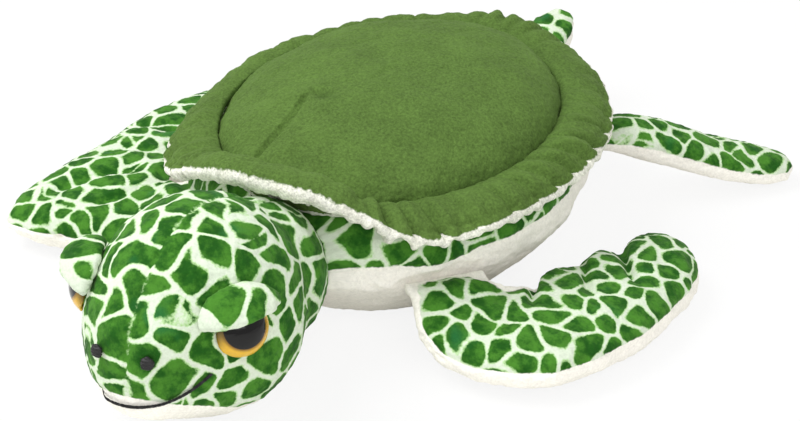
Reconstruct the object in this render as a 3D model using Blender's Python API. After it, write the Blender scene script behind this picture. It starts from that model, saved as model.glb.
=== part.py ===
# Plush sea turtle, lying on its belly: head towards -Y, its left side towards +X, metres.
# The origin is the middle of the flat patch of the belly that it rests on.
# A stuffed part is a closed form lofted through rings. Its cloth panels are patches of that
# form with a wall drawn inwards, and its stuffing is the form drawn in by the wall and a gap.
import math

import bmesh
import bpy
from mathutils import Matrix, Vector
from mathutils.bvhtree import BVHTree

# Cloth and clearances
plush_thickness = 0.0012
shell_plush_thickness = 0.0022
seam_gap = 0.0003
cut_overrun = 0.004

# Body bag, an oval bowl with a domed shell sewn on top
rest_half_width = 0.046
rest_half_length = 0.054
body_half_width = 0.072
body_half_length = 0.085
belly_seam_height = 0.026
shell_seam_half_width = 0.0605
shell_seam_half_length = 0.0725
shell_seam_height = 0.051
shell_seam_pinch = 0.0008
shell_height = 0.0730
crown_shift_x = 0.009
crown_shift_y = 0.009
dome_spread_share = 0.95
dome_rise_share = 0.95
belly_slope_share = 1.3
belly_shares = (0, 0.13, 0.31, 0.52, 0.75, 1)
side_steps_deg = (22, 46, 70)
dome_steps_deg = (9, 20, 33, 48, 66)
body_columns = 30

# Shell rim, a soft flap of two cloths sewn into the shell seam
rim_overhang_width = 0.0155
rim_overhang_length = 0.0190
rim_edge_height = 0.0460
rim_crown = 0.0035
rim_seam_clearance = 0.0007
rim_cloth_thickness = 0.0021
rim_shift = 0.0023
rim_ripple = 0.0008
rim_ripples = 9
rim_columns = 48
rim_shares = (0, 0.30, 0.60)
rim_blend_deg = 7
# turn in degrees from the turtle's left side, reach and height of the edge: it rises over the
# neck and the tail, and drops steeply beside the right shoulder
rim_edge_shares = (
    (0, 1.00, 1.065), (20, 1.00, 1.011), (40, 1.00, 1.017), (60, 1.00, 1.065),
    (75, 1.00, 1.098), (90, 1.00, 1.170), (102, 1.00, 1.098), (120, 1.00, 1.000),
    (140, 1.01, 0.965), (160, 1.02, 0.955), (180, 1.025, 0.950), (195, 1.04, 0.940),
    (205, 1.04, 0.946), (215, 1.05, 0.967), (225, 1.055, 1.000), (233, 1.045, 1.152),
    (242, 1.02, 1.304), (252, 0.99, 1.446), (262, 0.975, 1.543), (272, 0.97, 1.576),
    (282, 0.972, 1.543), (292, 0.978, 1.435), (300, 0.99, 1.272), (308, 1.005, 1.109),
    (318, 1.01, 1.022), (330, 1.00, 1.022), (340, 1.00, 1.054), (350, 1.00, 1.087),
    (360, 1.00, 1.065),
)

# Head and neck, swept forward from the neck seam along a spine that turns with the head
neck_seam_x = 0.003
neck_seam_y = -0.0955
neck_level = 0.0345
neck_radius = 0.0260
neck_half_height = 0.0295
neck_widest_share = 0.50
neck_clearance = 0.0008
neck_heading_deg = -13
head_heading_deg = 11
head_reach = 0.0792
head_half_width = 0.0365
head_height = 0.0745
head_floor_gap = 0.0006
neck_end_steps_deg = (24, 48, 70)
head_columns = 24
# how far along the reach, half width, top, underside, and level of the widest point
head_shares = (
    (0.09, 0.84, 0.93, 0.056, 0.46),
    (0.20, 0.99, 0.98, 0.022, 0.43),
    (0.328, 1.05, 1.00, 0.005, 0.39),
    (0.469, 1.05, 1.00, 0.000, 0.36),
    (0.609, 0.95, 0.95, 0.028, 0.37),
    (0.738, 0.77, 0.87, 0.078, 0.41),
    (0.857, 0.57, 0.76, 0.140, 0.46),
    (0.944, 0.38, 0.66, 0.195, 0.50),
    (0.981, 0.21, 0.54, 0.232, 0.50),
)
head_tip_share = 0.285
head_fullness_share = 0.92
head_full_share = 0.30
chin_seam_column = 3

# Eyes, lids, nostrils and mouth
eye_forward = 0.0505
eye_level = 0.0465
eye_turn_deg = 47
eye_lift_deg = 16
eye_radius = 0.0102
eye_height = 0.0080
eye_sink = 0.0020
eye_post_radius = 0.0022
eye_post_length = 0.0105
eye_washer_radius = 0.0055
eye_washer_thickness = 0.0015
eye_washer_slack = 0.0008
eye_columns = 16
lid_half_width = 0.0150
lid_half_height = 0.0135
lid_depth = 0.0112
lid_edge_rise = 0.0010
lid_edge_tilt_deg = 14
nostril_radius = 0.0022
nostril_depth = 0.0011
nostril_spread = 0.0094
nostril_level = 0.0403
stitch_half_width = 0.00085
stitch_half_height = 0.0004
stitch_columns = 8
mouth_level = 0.0232
mouth_rise = 0.0100
mouth_curl_share = 2.5
mouth_half_angle_deg = 68
mouth_points = 19

# Limb roots: each limb's rolled seam allowance is caught in a slit of the belly seam
roll_radius = 0.0030
roll_sink = 0.0008
roll_columns = 14
root_thickness = 0.0033

# Front flippers
front_root_angle_deg = -40
front_root_width = 0.032
front_reach = 0.0745
front_length = 0.117
front_thickness = 0.0102
front_crease_depth = 0.0026
front_columns = 14
# leading edge x, y and lift off the floor, the same for the trailing edge, and thickness
front_left_shares = (
    (-0.052, -0.142, 0.86, 0.220, 0.110, 0.90, 0.55),
    (0.036, -0.206, 0.50, 0.278, 0.170, 0.68, 0.74),
    (0.172, -0.236, 0.15, 0.312, 0.265, 0.46, 0.90),
    (0.354, -0.245, 0.00, 0.307, 0.382, 0.28, 1.00),
    (0.549, -0.208, 0.00, 0.348, 0.473, 0.17, 1.00),
    (0.730, -0.136, 0.00, 0.368, 0.560, 0.10, 1.00),
    (0.844, 0.010, 0.00, 0.432, 0.633, 0.06, 0.97),
    (0.918, 0.180, 0.00, 0.446, 0.707, 0.02, 0.94),
    (0.938, 0.365, 0.00, 0.485, 0.765, 0.00, 0.90),
    (0.934, 0.502, 0.00, 0.562, 0.795, 0.00, 0.83),
    (0.891, 0.620, 0.00, 0.650, 0.791, 0.00, 0.68),
)
front_left_tip_shares = (0.799, 0.734)
front_right_shares = (
    (-0.052, -0.142, 0.86, 0.220, 0.110, 0.90, 0.55),
    (0.036, -0.206, 0.50, 0.278, 0.170, 0.68, 0.74),
    (0.190, -0.226, 0.12, 0.310, 0.290, 0.40, 0.90),
    (0.429, -0.217, 0.04, 0.334, 0.399, 0.30, 1.00),
    (0.697, -0.247, 0.00, 0.388, 0.501, 0.19, 1.00),
    (0.891, -0.238, 0.00, 0.435, 0.603, 0.11, 1.00),
    (0.952, -0.135, 0.00, 0.475, 0.698, 0.06, 0.98),
    (0.925, 0.057, 0.00, 0.522, 0.774, 0.02, 0.95),
    (0.911, 0.262, 0.00, 0.576, 0.835, 0.00, 0.90),
    (0.898, 0.484, 0.00, 0.636, 0.877, 0.00, 0.84),
    (0.871, 0.680, 0.00, 0.710, 0.898, 0.00, 0.68),
)
front_right_tip_shares = (0.817, 0.835)
front_crease_rows = (2, 4, 6)

# Rear flippers, the right one laid further back than the left
rear_root_angle_deg = 49
rear_root_width = 0.020
rear_length = 0.0860
rear_half_width = 0.0132
rear_thickness = 0.0082
rear_left_heading_deg = 41
rear_right_heading_deg = 62
rear_columns = 12
# how far along, half width, lift off the floor, and thickness
rear_shares = (
    (0.10, 0.86, 1.06, 0.66),
    (0.22, 0.93, 0.98, 0.94),
    (0.37, 0.98, 0.74, 1.00),
    (0.53, 1.00, 0.44, 0.97),
    (0.69, 0.99, 0.18, 0.92),
    (0.83, 0.90, 0.00, 0.85),
    (0.94, 0.63, 0.00, 0.68),
)

# Tail
tail_root_width = 0.016
tail_length = 0.0530
tail_half_width = 0.0118
tail_thickness = 0.0078
tail_rise = 0.0100
tail_rise_power_share = 1.5
tail_columns = 12
# how far along, half width and thickness
tail_shares = (
    (0.13, 0.82, 0.66),
    (0.32, 0.96, 1.00),
    (0.55, 0.98, 0.98),
    (0.78, 0.84, 0.86),
    (0.93, 0.55, 0.64),
)

limb_floor_gap = 0.0004
pillow_fullness_share = 0.72
drawing_steps = 50
root_draw_share = 1.3
up = Vector((0, 0, 1))
collections = {}


# Scene, materials and modifiers

def clear_scene():
    for obj in list(bpy.data.objects):
        bpy.data.objects.remove(obj, do_unlink=True)
    for name in ("plush_turtle", "turtle_cutters"):
        collections[name] = bpy.data.collections.new(name)
        bpy.context.scene.collection.children.link(collections[name])


def finish(name, colour, roughness, metallic=0.0):
    material = bpy.data.materials.new(name)
    material.use_nodes = True
    shader = material.node_tree.nodes["Principled BSDF"]
    shader.inputs["Base Color"].default_value = (*colour, 1)
    shader.inputs["Roughness"].default_value = roughness
    shader.inputs["Metallic"].default_value = metallic
    return material


def make_finishes():
    return {
        "shell": finish("green_shell_plush", (0.06, 0.16, 0.02), 0.92),
        "pattern": finish("printed_plush", (0.10, 0.30, 0.04), 0.88),
        "cream": finish("cream_plush", (0.78, 0.72, 0.64), 0.90),
        "white": finish("white_plush", (0.85, 0.85, 0.82), 0.92),
        "filling": finish("polyester_filling", (0.86, 0.86, 0.86), 0.97),
        "eye": finish("amber_and_black_plastic", (0.35, 0.14, 0.01), 0.08),
        "washer": finish("washer_plastic", (0.75, 0.75, 0.75), 0.45),
        "thread": finish("black_thread", (0.006, 0.006, 0.007), 0.60),
    }


def mesh_of(shape, name):
    mesh = bpy.data.meshes.new(name)
    shape.to_mesh(mesh)
    shape.free()
    return mesh


def add_part(name, shape, material, pivot=None):
    mesh = mesh_of(shape, name)
    mesh.materials.append(material)
    mesh.shade_smooth()
    mesh.set_sharp_from_angle(angle=math.radians(50))
    obj = bpy.data.objects.new(name, mesh)
    collections["plush_turtle"].objects.link(obj)
    if pivot:
        obj.parent = pivot
        obj.matrix_parent_inverse = Matrix.Translation(-pivot.location)
    return obj


def add_cutter(name, shape):
    obj = bpy.data.objects.new(name, mesh_of(shape, name))
    collections["turtle_cutters"].objects.link(obj)
    obj.hide_render = True
    obj.display_type = "WIRE"
    return obj


def add_pivot(name, place):
    pivot = bpy.data.objects.new(name, None)
    pivot.location = place
    pivot.empty_display_size = roll_radius
    collections["plush_turtle"].objects.link(pivot)
    return pivot


def draw_in(obj, depth):
    """Moves a closed surface inwards along its normals, or outwards by a negative depth."""
    shift = obj.modifiers.new("draw_in", "DISPLACE")
    shift.strength = -depth
    shift.mid_level = 0


def cut(obj, cutter):
    opening = obj.modifiers.new("cut_" + cutter.name, "BOOLEAN")
    opening.operation = "DIFFERENCE"
    opening.object = cutter
    opening.solver = "EXACT"


# Lofted forms. A form is its rings with a pole, True for a flat cap, or None at each end.

def surface(rings, start=None, end=None, wrap=True):
    shape = bmesh.new()
    rows = [[shape.verts.new(p) for p in ring] for ring in rings]
    count = len(rows[0])
    spans = [(i, (i + 1) % count) for i in range(count if wrap else count - 1)]
    for low, high in zip(rows, rows[1:]):
        for i, j in spans:
            shape.faces.new((low[i], low[j], high[j], high[i]))
    for cap, row in ((start, rows[0]), (end, rows[-1])):
        if cap is True:
            shape.faces.new(row)
        elif cap is not None:
            pole = shape.verts.new(cap)
            for i, j in spans:
                shape.faces.new((row[i], row[j], pole))
    return shape


def face_out(shape, middle):
    """Points all faces of a closed or bowl-shaped surface away from the middle given."""
    bmesh.ops.recalc_face_normals(shape, faces=shape.faces[:])
    outward = sum(f.calc_area() * f.normal.dot(f.calc_center_median() - middle)
                  for f in shape.faces)
    if outward < 0:
        bmesh.ops.reverse_faces(shape, faces=shape.faces[:])
    shape.normal_update()
    return shape


def shaped(value, power):
    return math.copysign(abs(value) ** power, value)


def middle_of(rings):
    points = [p for ring in rings for p in ring]
    return sum(points, Vector()) / len(points)


def solid(form):
    rings, start, end = form
    return face_out(surface(rings, start, end), middle_of(rings))


def moved_towards(point, other, distance):
    return point + (other - point).normalized() * distance


def cloth_panel(form, thickness, rows=None, columns=None):
    """A patch of a form with a wall inwards. Its edges keep half a gap to the next panel."""
    rings, start, end = form
    count = len(rings[0])
    whole = solid(form)
    normals = [v.normal.copy() for v in whole.verts]
    whole.free()
    first, last = rows or (0, len(rings) - 1)
    picked = [i % count for i in range(columns[0], columns[1] + 1)] if columns \
        else list(range(count))
    patch = [[rings[r][c].copy() for c in picked] for r in range(first, last + 1)]
    squares = [[normals[r * count + c] for c in picked] for r in range(first, last + 1)]
    if columns and start is True:
        for ring, square in zip(patch, squares):
            chord = (ring[0] - ring[-1]).normalized()
            square[0], square[-1] = chord, -chord
    if columns:
        back = seam_gap if start is True else seam_gap / 2
        for ring in patch:
            ring[0], ring[-1] = (moved_towards(ring[0], ring[1], back),
                                 moved_towards(ring[-1], ring[-2], back))
    if first > 0:
        patch[0] = [moved_towards(p, q, seam_gap / 2) for p, q in zip(patch[0], patch[1])]
    if last < len(rings) - 1:
        patch[-1] = [moved_towards(p, q, seam_gap / 2) for p, q in zip(patch[-1], patch[-2])]
    caps = []
    order = [n for row in squares for n in row]
    pole_index = len(rings) * count
    for cap, edge in ((start, first == 0), (end, last == len(rings) - 1)):
        is_pole = cap is not None and cap is not True
        if not edge:
            caps.append(None)
        elif is_pole:
            near = patch[0] if not caps else patch[-1]
            caps.append(moved_towards(cap, middle_of([near]), seam_gap) if columns else cap)
            order.append(normals[pole_index])
        else:
            caps.append(None if columns and cap is True else cap)
        pole_index += 1 if is_pole else 0
    shape = surface(patch, caps[0], caps[1], wrap=columns is None)
    shape.verts.ensure_lookup_table()
    return give_wall(shape, order, middle_of(rings), thickness)


def give_wall(shape, order, middle, thickness):
    """Closes an open patch into a cloth: an inner face square to the whole form, and rims."""
    face_out(shape, middle)
    faces = shape.faces[:]
    rims = [e.link_loops[0] for e in shape.edges if e.is_boundary]
    rims = [(loop.vert, loop.link_loop_next.vert) for loop in rims]
    inner = {}
    for vert, square in zip(shape.verts[:], order):
        inner[vert] = shape.verts.new(vert.co - square * thickness)
    for face in faces:
        shape.faces.new([inner[v] for v in reversed(face.verts)])
    for a, b in rims:
        shape.faces.new((b, a, inner[a], inner[b]))
    return shape


# Body bag and shell

def oval(half_width, half_length, height):
    turns = [2 * math.pi * (i + 0.5) / body_columns for i in range(body_columns)]
    return [Vector((half_width * math.cos(t), half_length * math.sin(t), height))
            for t in turns]


def belly_ring(share):
    return oval(rest_half_width + (body_half_width - rest_half_width) * share,
                rest_half_length + (body_half_length - rest_half_length) * share,
                belly_seam_height * share ** belly_slope_share)


def side_ring(step_deg, pinch=0.0):
    t = math.radians(step_deg)
    narrow, short = shell_seam_half_width - pinch, shell_seam_half_length - pinch
    return oval(narrow + (body_half_width - narrow) * math.cos(t),
                short + (body_half_length - short) * math.cos(t),
                belly_seam_height + (shell_seam_height - belly_seam_height) * math.sin(t))


def dome_ring(step_deg):
    t = math.radians(step_deg)
    across = math.cos(t) ** dome_spread_share
    rise = math.sin(t) ** dome_rise_share
    shift = Vector((crown_shift_x, crown_shift_y, 0)) * rise ** 2
    ring = oval(shell_seam_half_width * across, shell_seam_half_length * across,
                shell_seam_height + (shell_height - shell_seam_height) * rise)
    return [p + shift for p in ring]


def make_body(looks, sockets):
    belly = [belly_ring(s) for s in belly_shares]
    side = [side_ring(s) for s in side_steps_deg]
    dome = [dome_ring(s) for s in dome_steps_deg]
    crown = Vector((crown_shift_x, crown_shift_y, shell_height))
    seam_row = len(belly) - 1

    lower = (belly + side + [side_ring(90)], True, crown)
    belly_panel = add_part("belly_panel",
                           cloth_panel(lower, plush_thickness, rows=(0, seam_row)),
                           looks["cream"])
    side_rows = (seam_row, seam_row + len(side) + 1)
    side_panel = add_part("body_side_panel", side_cloth(lower, side_rows), looks["pattern"])

    shell = ([dome_ring(0)] + dome, True, crown)
    add_part("shell_dome_panel", dome_cloth(shell), looks["shell"])

    bag = (belly + side + [side_ring(90, shell_seam_pinch)] + dome, True, crown)
    filling = add_part("body_filling", solid(bag), looks["filling"])
    draw_in(filling, shell_plush_thickness + seam_gap)
    for piece in (belly_panel, side_panel, filling):
        for socket in sockets:
            cut(piece, socket)


def side_cloth(form, rows):
    """The printed band between the belly seam and the shell seam, open at both."""
    whole = solid(form)
    squares = [v.normal.copy() for v in whole.verts]
    whole.free()
    band = form[0][rows[0]:rows[1] + 1]
    band[0] = [moved_towards(p, q, seam_gap / 2) for p, q in zip(band[0], band[1])]
    shape = face_out(surface(band), middle_of(band))
    order = [v.normal.copy() for v in shape.verts]
    order[:body_columns] = squares[rows[0] * body_columns:(rows[0] + 1) * body_columns]
    return give_wall(shape, order, middle_of(band), plush_thickness)


def dome_cloth(form):
    """The shell's dome, open below, its edge a gap above the shell seam."""
    rings, _, crown = form
    rings = [[p + up * seam_gap for p in rings[0]]] + rings[1:]
    below = middle_of([rings[0]])
    shape = face_out(surface(rings, end=crown), below)
    order = [v.normal.copy() for v in shape.verts]
    return give_wall(shape, order, below, shell_plush_thickness)


def between_rows(degrees):
    """Reach and height of the rim's edge, straight between the rows of its table."""
    degrees %= 360
    for (low, *here), (high, *there) in zip(rim_edge_shares, rim_edge_shares[1:]):
        if degrees <= high:
            way = (degrees - low) / (high - low)
            return [a + (b - a) * way for a, b in zip(here, there)]


def rim_edge(turn):
    """A point of the rim's edge, its table's corners rounded off."""
    degrees = math.degrees(turn)
    near = [between_rows(degrees + i * rim_blend_deg) for i in (-1, 0, 1)]
    reach, height = (sum(values) / len(near) for values in zip(*near))
    across = (shell_seam_half_width + rim_overhang_width) * reach
    length = (shell_seam_half_length + rim_overhang_length) * reach
    return Vector((rim_shift + across * math.cos(turn), length * math.sin(turn),
                   rim_edge_height * height + rim_ripple * math.sin(rim_ripples * turn)))


def rim_ring(share):
    """One ring of the flap's top: share 0 at the shell seam and 1 at the edge."""
    seam_top = shell_seam_height + 2 * rim_cloth_thickness + 2 * seam_gap
    inset = rim_seam_clearance
    ring = []
    for i in range(rim_columns):
        turn = 2 * math.pi * i / rim_columns
        inner = Vector(((shell_seam_half_width + inset) * math.cos(turn),
                        (shell_seam_half_length + inset) * math.sin(turn), seam_top))
        ring.append(inner.lerp(rim_edge(turn), share) + up * rim_crown * math.sin(math.pi * share))
    return ring


def sunk_ring(ring, squares, depth):
    return [p - n * depth for p, n in zip(ring, squares)]


def make_rim(looks):
    """The green top cloth, and the white lining that turns up round its outer edge."""
    thick = rim_cloth_thickness
    lip_share = thick / rim_overhang_width
    shares = rim_shares + (1 - 1.3 * lip_share, 1 - lip_share, 1 - lip_share / 3, 1)
    rings = [rim_ring(s) for s in shares]
    flap = face_out(surface(rings), Vector())
    squares = [v.normal.copy() for v in flap.verts]
    flap.free()
    squares = [squares[i:i + rim_columns] for i in range(0, len(squares), rim_columns)]
    squares[0] = [up] * rim_columns
    squares[1] = [(n + up).normalized() for n in squares[1]]

    count = len(rim_shares) + 1
    order = [n for row in squares[:count] for n in row]
    top = give_wall(surface(rings[:count]), order, Vector(), thick)
    add_part("shell_rim_top", top, looks["shell"])

    depths = [2 * thick + seam_gap] * (count + 1) + [1.7 * thick, thick]
    under = [sunk_ring(*row) for row in zip(rings, squares, depths)]
    under.append(sunk_ring(rim_ring(1 - lip_share / 5), squares[-1], seam_gap))
    high = up * shell_height * 4
    lining = face_out(surface(under), high)
    order = [v.normal.copy() for v in lining.verts]
    order[:count * rim_columns] = [-n for row in squares[:count] for n in row]
    add_part("shell_rim_lining", give_wall(lining, order, high, thick), looks["white"])


# Head

def head_frame(reach):
    """Place of the spine at the neck's level, forward and sideways, at this reach."""
    start, turned = math.radians(neck_heading_deg), math.radians(head_heading_deg)
    bend = head_reach / (turned - start)
    heading = start + reach / bend
    place = Vector((neck_seam_x + bend * (math.cos(start) - math.cos(heading)),
                    neck_seam_y - bend * (math.sin(heading) - math.sin(start)), neck_level))
    return (place, Vector((math.sin(heading), -math.cos(heading), 0)),
            Vector((math.cos(heading), math.sin(heading), 0)))


def neck_ring(step_deg):
    """A ring of the rounded neck end, whose turning axis stands upright in the seam."""
    t = math.radians(step_deg)
    place, forward, side = head_frame(0)
    place = place - forward * neck_radius * math.cos(t)
    return egg_ring(place, side, neck_radius * math.sin(t),
                    neck_level + neck_half_height * math.sin(t),
                    neck_level - neck_half_height * math.sin(t), neck_widest_share)


def egg_ring(place, side, half_width, top, under, level, fullness=1.0):
    widest = under + (top - under) * level
    ring = []
    for i in range(head_columns):
        turn = 2 * math.pi * i / head_columns
        rise = shaped(math.sin(turn), fullness)
        rise *= top - widest if rise > 0 else widest - under
        point = place + side * half_width * shaped(math.cos(turn), fullness)
        ring.append(Vector((point.x, point.y, widest + rise)))
    return ring


def head_form():
    rings = [neck_ring(s) for s in neck_end_steps_deg] + [neck_ring(90)]
    for share, width, top, under, level in head_shares:
        place, _, side = head_frame(share * head_reach)
        rings.append(egg_ring(place, side, width * head_half_width,
                              head_floor_gap + top * head_height,
                              head_floor_gap + under * head_height, level,
                              1 - (1 - head_fullness_share) * min(1, share / head_full_share)))
    back, forward, _ = head_frame(0)
    tip, _, _ = head_frame(head_reach)
    tip.z = head_floor_gap + head_tip_share * head_height
    return rings, back - forward * neck_radius, tip


def neck_socket():
    """Room for the rounded neck end in the front of the body, turned about its own axis."""
    shape = bmesh.new()
    bmesh.ops.create_uvsphere(shape, u_segments=head_columns, v_segments=head_columns // 2,
                              radius=1)
    place, _, _ = head_frame(0)
    radius, half_height = neck_radius + neck_clearance, neck_half_height + neck_clearance
    size = Vector((radius, radius, half_height))
    bmesh.ops.scale(shape, vec=size, verts=shape.verts)
    bmesh.ops.translate(shape, vec=place, verts=shape.verts)
    return add_cutter("neck_socket", shape)


def facing(place, turn_deg, lift_deg, hand):
    """Matrix of a face piece: x to the turtle's left, y up the piece, z out of the head."""
    _, forward, side = head_frame(eye_forward)
    turn, lift = math.radians(turn_deg), math.radians(lift_deg)
    level = forward * math.cos(turn) + side * hand * math.sin(turn)
    out = level * math.cos(lift) + up * math.sin(lift)
    across = up.cross(out).normalized()
    matrix = Matrix((across, out.cross(across), out)).transposed().to_4x4()
    matrix.translation = place
    return matrix


def ball(size, matrix, columns=eye_columns):
    shape = bmesh.new()
    bmesh.ops.create_uvsphere(shape, u_segments=columns, v_segments=columns // 2, radius=1)
    bmesh.ops.scale(shape, vec=size, verts=shape.verts)
    bmesh.ops.transform(shape, matrix=matrix, verts=shape.verts)
    return shape


def rod(radius, length, matrix, columns=eye_columns):
    """A round rod centred on the matrix, along its z."""
    shape = bmesh.new()
    bmesh.ops.create_cone(shape, cap_ends=True, segments=columns, radius1=radius,
                          radius2=radius, depth=length)
    bmesh.ops.transform(shape, matrix=matrix, verts=shape.verts)
    return shape


def skin_hit(tree, start, direction):
    """Where a ray from inside the head meets its cloth."""
    place, normal, _, _ = tree.ray_cast(start, direction)
    return place, normal


def make_head(looks):
    pivot = add_pivot("head_turn_axis", head_frame(0)[0])
    form = head_form()
    quarter, half = head_columns // 4, head_columns // 2
    panels = {
        "head_panel_left": (-chin_seam_column, quarter),
        "head_panel_right": (quarter, half + chin_seam_column),
        "chin_panel": (half + chin_seam_column, head_columns - chin_seam_column),
    }
    built = {}
    for name, columns in panels.items():
        look = looks["cream"] if name == "chin_panel" else looks["pattern"]
        built[name] = add_part(name, cloth_panel(form, plush_thickness, columns=columns),
                               look, pivot)
    filling = add_part("head_filling", solid(form), looks["filling"], pivot)
    draw_in(filling, plush_thickness + 1.5 * seam_gap)
    grown = add_cutter("head_and_gap", solid(form))
    draw_in(grown, -seam_gap)

    whole = solid(form)
    tree = BVHTree.FromBMesh(whole)
    whole.free()
    for hand, word in ((1, "left"), (-1, "right")):
        make_eye(looks, pivot, tree, grown, hand, word,
                 built["head_panel_" + word], filling)
        make_nostril(looks, pivot, tree, grown, hand, word)
    make_mouth(looks, pivot, tree)


def make_eye(looks, pivot, tree, grown, hand, word, panel, filling):
    """A domed safety eye: its post goes through the cloth into a washer in the stuffing."""
    place, _, side = head_frame(eye_forward)
    place.z = eye_level
    seat, _ = skin_hit(tree, place, side * hand)
    face = facing(seat, eye_turn_deg, eye_lift_deg, hand)
    sunk = face @ Matrix.Translation((0, 0, -eye_sink))

    eye = add_part("eye_" + word, ball((eye_radius, eye_radius, eye_height), sunk),
                   looks["eye"], pivot)
    cut(eye, grown)
    post_middle = face @ Matrix.Translation((0, 0, -eye_post_length / 2))
    post = add_cutter("eye_post_" + word,
                      rod(eye_post_radius, eye_post_length + eye_height, post_middle))
    joined = eye.modifiers.new("join_post", "BOOLEAN")
    joined.operation = "UNION"
    joined.object = post
    joined.solver = "EXACT"
    hole = add_cutter("eye_hole_" + word,
                      rod(eye_post_radius + seam_gap,
                          eye_post_length + eye_height + 2 * seam_gap, post_middle))
    cut(panel, hole)
    cut(filling, hole)

    washer_depth = plush_thickness + seam_gap + eye_washer_slack + eye_washer_thickness / 2
    washer_place = face @ Matrix.Translation((0, 0, -washer_depth - eye_sink))
    washer = add_part("eye_washer_" + word,
                      rod(eye_washer_radius, eye_washer_thickness, washer_place),
                      looks["washer"], pivot)
    cut(washer, hole)
    pocket = add_cutter("washer_pocket_" + word,
                        rod(eye_washer_radius + seam_gap,
                            eye_washer_thickness + 2 * seam_gap, washer_place))
    cut(filling, pocket)
    make_lid(looks, pivot, face, sunk, grown, word, hand)


def make_lid(looks, pivot, face, sunk, grown, word, hand):
    """A thick hood of printed plush over the upper half of the eye, its edge tilted."""
    lid = add_part("eyelid_" + word,
                   ball((lid_half_width, lid_half_height, lid_depth), sunk),
                   looks["pattern"], pivot)
    cut(lid, grown)
    room = eye_radius + seam_gap
    eye_room = add_cutter("eye_room_" + word,
                          ball((room, room, eye_height + seam_gap), sunk))
    cut(lid, eye_room)
    box = bmesh.new()
    bmesh.ops.create_cube(box, size=1)
    size = 2 * (lid_half_width + cut_overrun)
    bmesh.ops.scale(box, vec=(size, size, size), verts=box.verts)
    bmesh.ops.translate(box, vec=(0, lid_edge_rise - size / 2, 0), verts=box.verts)
    tilt = Matrix.Rotation(math.radians(lid_edge_tilt_deg) * hand, 4, "Z")
    bmesh.ops.transform(box, matrix=face @ tilt, verts=box.verts)
    cut(lid, add_cutter("lid_opening_" + word, box))


def make_nostril(looks, pivot, tree, grown, hand, word):
    """A black satin-stitched spot on the front of the snout."""
    place, forward, side = head_frame(eye_forward)
    start = place + side * hand * nostril_spread
    start.z = nostril_level
    seat, out = skin_hit(tree, start, forward)
    across = up.cross(out).normalized()
    matrix = Matrix((across, out.cross(across), out)).transposed().to_4x4()
    matrix.translation = seat
    spot = add_part("nostril_" + word,
                    ball((nostril_radius, nostril_radius, nostril_depth), matrix,
                         eye_columns // 2),
                    looks["thread"], pivot)
    cut(spot, grown)


def make_mouth(looks, pivot, tree):
    """One flat line of satin stitch round the snout, its ends rising into a smile."""
    start, forward, side = head_frame(eye_forward)
    path = []
    for i in range(mouth_points):
        share = 2 * i / (mouth_points - 1) - 1
        turn = math.radians(mouth_half_angle_deg) * share
        start.z = mouth_level + mouth_rise * abs(share) ** mouth_curl_share
        path.append(skin_hit(tree, start, forward * math.cos(turn) + side * math.sin(turn)))
    rings = []
    for i, (seat, out) in enumerate(path):
        run = path[min(i + 1, mouth_points - 1)][0] - path[max(i - 1, 0)][0]
        across = run.cross(out).normalized()
        middle = seat + out * (seam_gap + stitch_half_height)
        turns = [2 * math.pi * (j + 0.5) / stitch_columns for j in range(stitch_columns)]
        rings.append([middle + across * stitch_half_width * math.cos(t)
                      + out * stitch_half_height * math.sin(t) for t in turns])
    add_part("mouth_stitch", solid((rings, True, True)), looks["thread"], pivot)


# Limbs

def limb_root(angle_deg, hand):
    """Middle of a limb's root roll in the belly seam, and its outward and along directions."""
    t = math.radians(angle_deg)
    place = Vector((body_half_width * math.cos(t), body_half_length * math.sin(t), 0))
    out = Vector((body_half_length * math.cos(t), body_half_width * math.sin(t), 0))
    out.normalize()
    place -= out * roll_sink
    place.z = belly_seam_height
    place.x *= hand
    out.x *= hand
    return place, out, up.cross(out) * hand


def roll_matrix(place, along):
    matrix = along.to_track_quat("Z", "Y").to_matrix().to_4x4()
    matrix.translation = place
    return matrix


def pillow_ring(lead, trail, thickness, columns, trail_crease=0.0):
    """Puffed ring between a leading and a trailing seam, which are columns 0 and half."""
    middle, across = (lead + trail) / 2, (lead - trail) / 2
    ring = []
    for i in range(columns):
        turn = 2 * math.pi * i / columns
        rise = 0.0
        if i % (columns // 2):
            rise = shaped(math.sin(turn), pillow_fullness_share)
        dent = trail_crease * max(0.0, -math.cos(turn)) if 0 < turn < math.pi else 0.0
        ring.append(middle + across * math.cos(turn) + up * (thickness * rise - dent))
    return ring


def root_ring(place, out, along, width, columns):
    start = place + out * (roll_radius + seam_gap)
    return pillow_ring(start - along * width / 2, start + along * width / 2,
                       root_thickness, columns)


def drawn_to(tree, point, middle, depth):
    """The first place on the way from a point to the middle that lies deep enough."""
    places = [point.lerp(middle, i / drawing_steps) for i in range(drawing_steps)]
    return next((p for p in places if tree.find_nearest(p)[3] >= depth), middle)


def slimmed(form, depth):
    """The form of a limb's stuffing: its root set back, its rings drawn in this deep."""
    rings, start, tip = form
    whole = solid(form)
    tree = BVHTree.FromBMesh(whole)
    whole.free()
    root = rings[0]
    inwards = up.cross(root[0] - root[len(root) // 2]).normalized()
    inwards *= math.copysign(root_draw_share * depth, inwards.dot(rings[1][0] - root[0]))
    rings = [[p + inwards for p in root]] + rings[1:]
    slim = [[drawn_to(tree, p, middle_of([ring]), depth) for p in ring] for ring in rings]
    return slim, start, drawn_to(tree, tip, middle_of([rings[-1]]), depth)


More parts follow.
